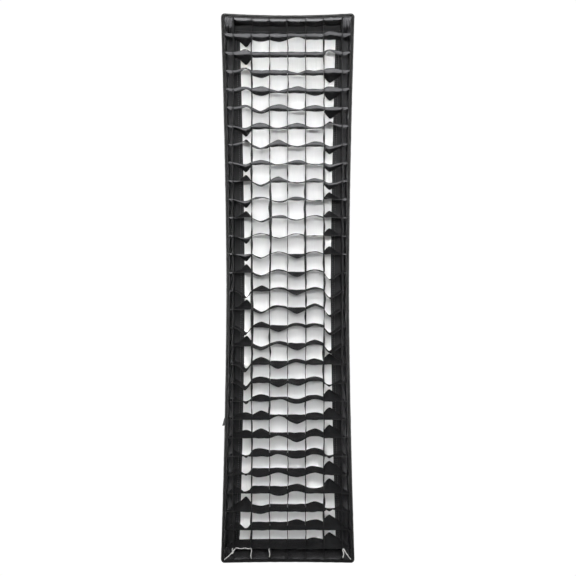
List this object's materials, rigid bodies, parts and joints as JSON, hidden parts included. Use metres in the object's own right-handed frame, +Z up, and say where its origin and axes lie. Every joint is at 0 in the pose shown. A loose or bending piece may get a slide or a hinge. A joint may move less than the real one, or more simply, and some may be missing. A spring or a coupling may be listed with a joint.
{
  "type": "strip softbox",
  "caption": "Tall narrow softbox with recessed front, egg-crate fabric grid, white diffuser, sprung rods and a turning bayonet speedring.",
  "frame": {"origin": "centre of the mount insert's rear face, where the light head seats", "axes": "+Z up along the long side, -Y towards the subject out of the front opening, +X across the short side, +Y back into the light head"},
  "size_m": [0.29, 0.409, 1.2],
  "materials": {
    "shell_cloth": "black coated nylon, silver inside",
    "lip_cloth": "black woven nylon",
    "binding_tape": "charcoal grosgrain tape",
    "loop_tape": "black brushed loop tape",
    "grid_cloth": "black coated nylon with a slight sheen",
    "diffuser_cloth": "white translucent nylon",
    "baffle_cloth": "white translucent nylon",
    "elastic": "white knitted elastic",
    "insert_metal": "turned and anodised",
    "ring_metal": "satin black",
    "steel": "zinc plated",
    "rod_steel": "spring steel",
    "black_plastic": "moulded nylon"
  },
  "bodies": {
    "mount": {"mount_insert": "insert_metal", "insert_retaining_ring": "steel", "retaining_screw_1": "steel", "retaining_screw_2": "steel", "retaining_screw_3": "steel"},
    "softbox": {"speedring_body": "ring_metal", "rod_socket_top_left": "ring_metal", "rod_socket_top_right": "ring_metal", "rod_socket_bottom_left": "ring_metal", "rod_socket_bottom_right": "ring_metal", "rod_top_left": "rod_steel", "rod_top_right": "rod_steel", "rod_bottom_left": "rod_steel", "rod_bottom_right": "rod_steel", "rod_tip_top_left": "black_plastic", "rod_tip_top_right": "black_plastic", "rod_tip_bottom_left": "black_plastic", "rod_tip_bottom_right": "black_plastic", "corner_pocket_top_left": "lip_cloth", "corner_pocket_top_right": "lip_cloth", "corner_pocket_bottom_left": "lip_cloth", "corner_pocket_bottom_right": "lip_cloth", "shell_left": "shell_cloth", "shell_right": "shell_cloth", "shell_top": "shell_cloth", "shell_bottom": "shell_cloth", "rear_collar": "shell_cloth", "lip_left": "lip_cloth", "lip_right": "lip_cloth", "lip_top": "lip_cloth", "lip_bottom": "lip_cloth", "rim_binding": "binding_tape", "lip_loop_tape": "loop_tape", "side_label": "binding_tape", "inner_baffle": "baffle_cloth", "baffle_strap_top_left": "elastic", "baffle_strap_top_right": "elastic", "baffle_strap_bottom_left": "elastic", "baffle_strap_bottom_right": "elastic"},
    "lock_shoe_left": {"lock_shoe_left": "black_plastic"},
    "lock_knob_left": {"lock_knob_left": "black_plastic"},
    "lock_shoe_right": {"lock_shoe_right": "black_plastic"},
    "lock_knob_right": {"lock_knob_right": "black_plastic"},
    "diffuser": {"diffuser_panel": "diffuser_cloth", "diffuser_border": "lip_cloth"},
    "grid": {"grid_slats": "grid_cloth", "grid_divider_1": "grid_cloth", "grid_divider_2": "grid_cloth", "grid_divider_3": "grid_cloth", "grid_divider_4": "grid_cloth", "grid_divider_5": "grid_cloth", "grid_divider_6": "grid_cloth", "grid_divider_7": "grid_cloth"}
  },
  "joints": [
    {"name": "box_rotation", "type": "hinge", "parent": "mount", "child": "softbox", "pos_m": [0, 0, 0], "axis": [0, 1, 0], "continuous": true},
    {"name": "lock_screw_travel_left", "type": "slide", "parent": "softbox", "child": "lock_shoe_left", "axis": [-1, 0, 0], "range_m": [0, 0.0021]},
    {"name": "lock_screw_turn_left", "type": "hinge", "parent": "lock_shoe_left", "child": "lock_knob_left", "pos_m": [-0.086, -0.0154, 0], "axis": [-1, 0, 0], "range_deg": [0, 720]},
    {"name": "lock_screw_travel_right", "type": "slide", "parent": "softbox", "child": "lock_shoe_right", "axis": [1, 0, 0], "range_m": [0, 0.0021]},
    {"name": "lock_screw_turn_right", "type": "hinge", "parent": "lock_shoe_right", "child": "lock_knob_right", "pos_m": [0.086, -0.0154, 0], "axis": [1, 0, 0], "range_deg": [0, 720]},
    {"name": "diffuser_removal", "type": "slide", "parent": "softbox", "child": "diffuser", "axis": [0, -1, 0], "range_m": [0, 0.12]},
    {"name": "grid_removal", "type": "slide", "parent": "diffuser", "child": "grid", "axis": [0, -1, 0], "range_m": [0, 0.1]}
  ],
  "couplings": [
    {"joint": "lock_screw_travel_left", "follows": "lock_screw_turn_left", "m_per_rad": 0.00015915},
    {"joint": "lock_screw_travel_right", "follows": "lock_screw_turn_right", "m_per_rad": 0.00015915}
  ]
}
